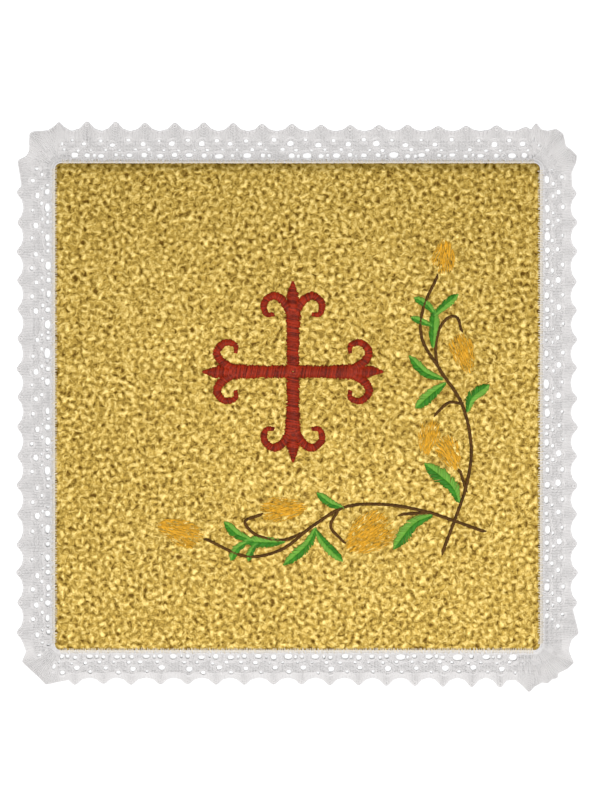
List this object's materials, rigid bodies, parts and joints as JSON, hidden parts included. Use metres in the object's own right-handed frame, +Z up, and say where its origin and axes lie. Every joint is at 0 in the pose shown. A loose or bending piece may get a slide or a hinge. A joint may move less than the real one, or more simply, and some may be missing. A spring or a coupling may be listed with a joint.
{
  "type": "chalice pall",
  "caption": "Stiff square gold-cloth cover for a chalice, edged with white picot lace and embroidered with a red cross and a leafy corner spray.",
  "frame": {"origin": "centre of the panel's flat underside, on the surface that the pall rests on", "axes": "+Z up out of the embroidered face, +Y towards the top of the face, +X to its right-hand side"},
  "size_m": [0.1742, 0.1768, 0.0034],
  "materials": {
    "gold_lame": "metallic gold lame with a fine crinkled grain, satin glitter",
    "white_lace": "matt white cotton thread lace"
  },
  "bodies": {
    "root": {"panel": "gold_lame", "lace_edging": "white_lace"}
  },
  "joints": []
}
